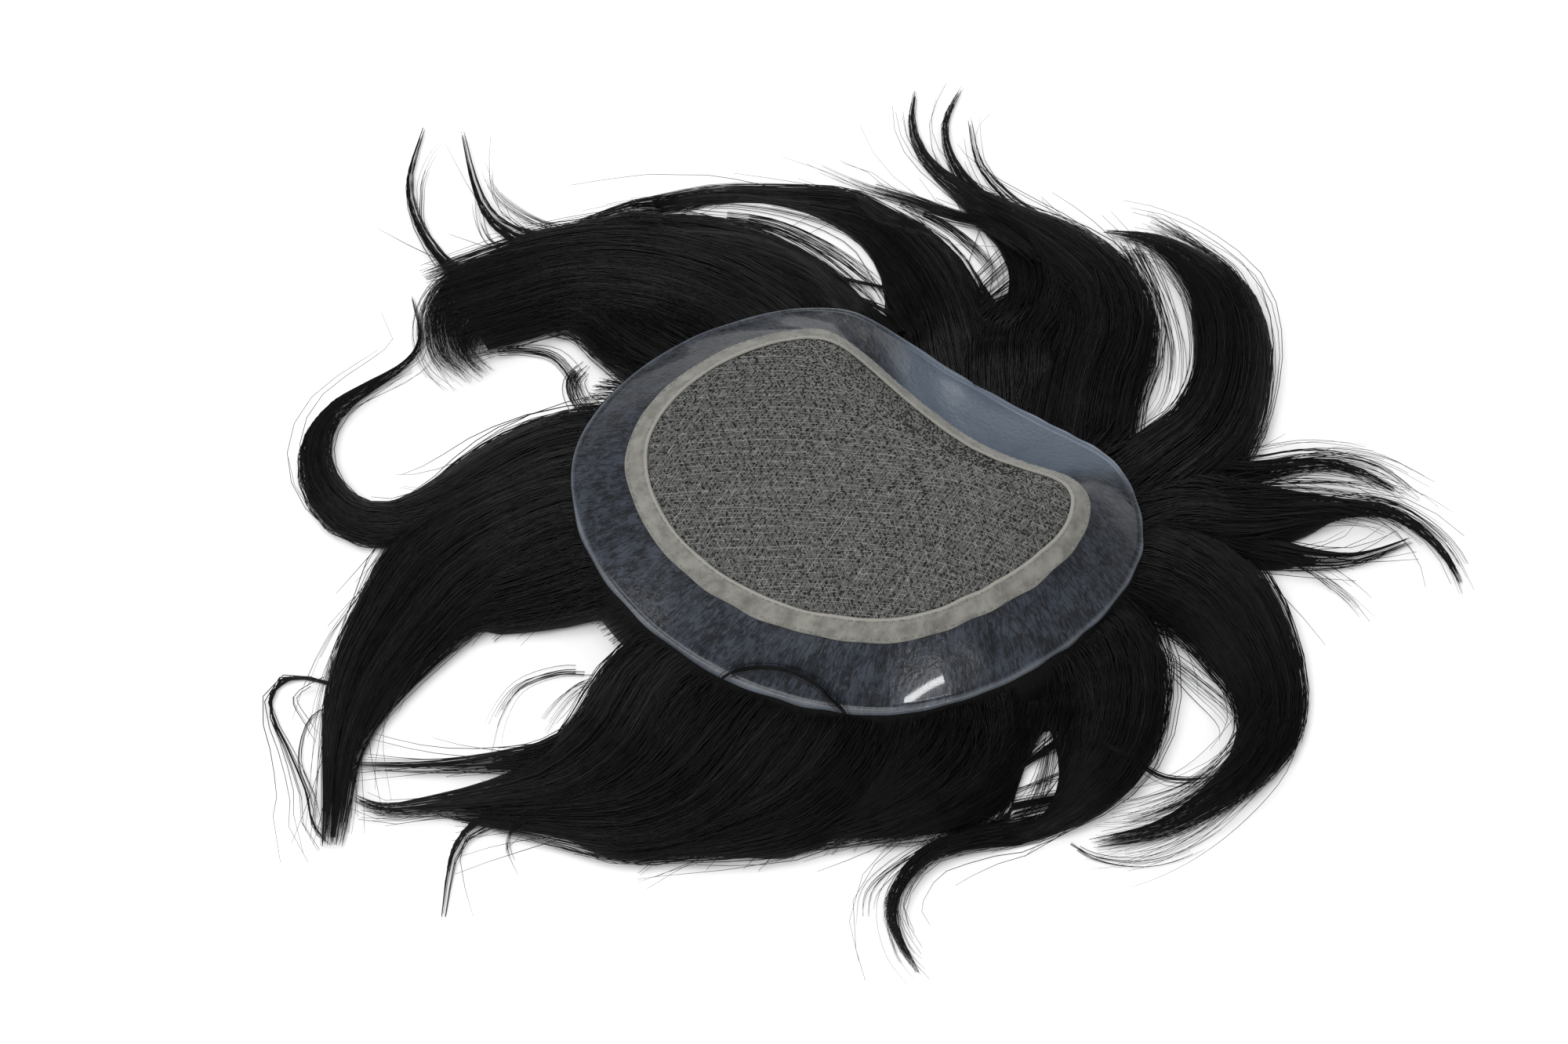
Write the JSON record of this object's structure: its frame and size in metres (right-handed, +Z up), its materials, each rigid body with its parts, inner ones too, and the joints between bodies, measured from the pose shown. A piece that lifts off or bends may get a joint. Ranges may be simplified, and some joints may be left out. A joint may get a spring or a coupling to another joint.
{
  "type": "toupee hairpiece",
  "caption": "Toupee hairpiece lying scalp side up: domed mesh crown, tape binding and clear skin rim over a fan of dark hair locks.",
  "frame": {"origin": "on the surface that the hairpiece lies on, under the middle of the spread hair", "axes": "+Z up, out of the scalp side; +X along the length of the spread hair, to the picture's right; -Y towards the picture's near edge"},
  "size_m": [0.4684, 0.4104, 0.0712],
  "materials": {
    "crown_net": "fine woven net with dark hair roots",
    "rim_skin": "glossy clear skin over dark hair",
    "tape": "matt woven ribbon",
    "hair": "soft sheen along the strands"
  },
  "bodies": {
    "root": {"mesh_crown": "crown_net", "skin_rim": "rim_skin", "binding_tape": "tape", "hair": "hair"}
  },
  "joints": []
}
